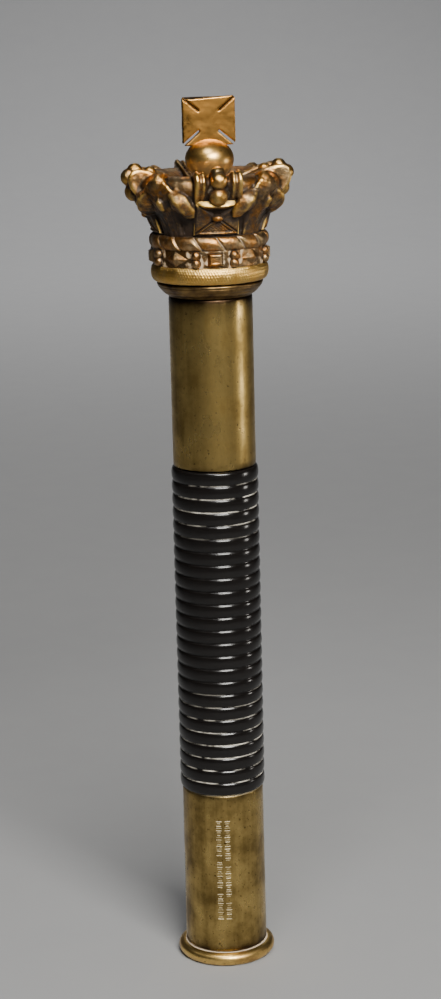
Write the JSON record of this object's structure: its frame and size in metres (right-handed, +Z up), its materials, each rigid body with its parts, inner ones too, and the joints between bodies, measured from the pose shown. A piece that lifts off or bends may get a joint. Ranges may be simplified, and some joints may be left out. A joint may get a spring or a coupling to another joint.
{
  "type": "tipstaff",
  "caption": "Short brass and ebony staff of office: turned foot, two plain tubes, a ribbed dark grip, and a cast crown with a ball and plate cross on top.",
  "frame": {"origin": "middle of the base cap's flat underside, at the bottom of the whole object", "axes": "+Z up along the staff from its foot to the cross; -Y out of the crown's front, towards one of its crosses; +X to that front's right as seen from it"},
  "size_m": [0.0492, 0.0498, 0.2547],
  "materials": {
    "tube_brass": "satin, aged to olive gold with dark spots",
    "turned_brass": "turned, worn bright, with brown tarnish",
    "cast_brass": "cast and chased, bright on the ridges and dark brown in the hollows",
    "ebony": "turned and polished black"
  },
  "bodies": {
    "root": {"base_cap": "turned_brass", "lower_tube": "tube_brass", "grip": "ebony", "upper_tube": "tube_brass", "collar": "tube_brass", "crown": "cast_brass", "orb": "turned_brass", "cross": "turned_brass"}
  },
  "joints": []
}
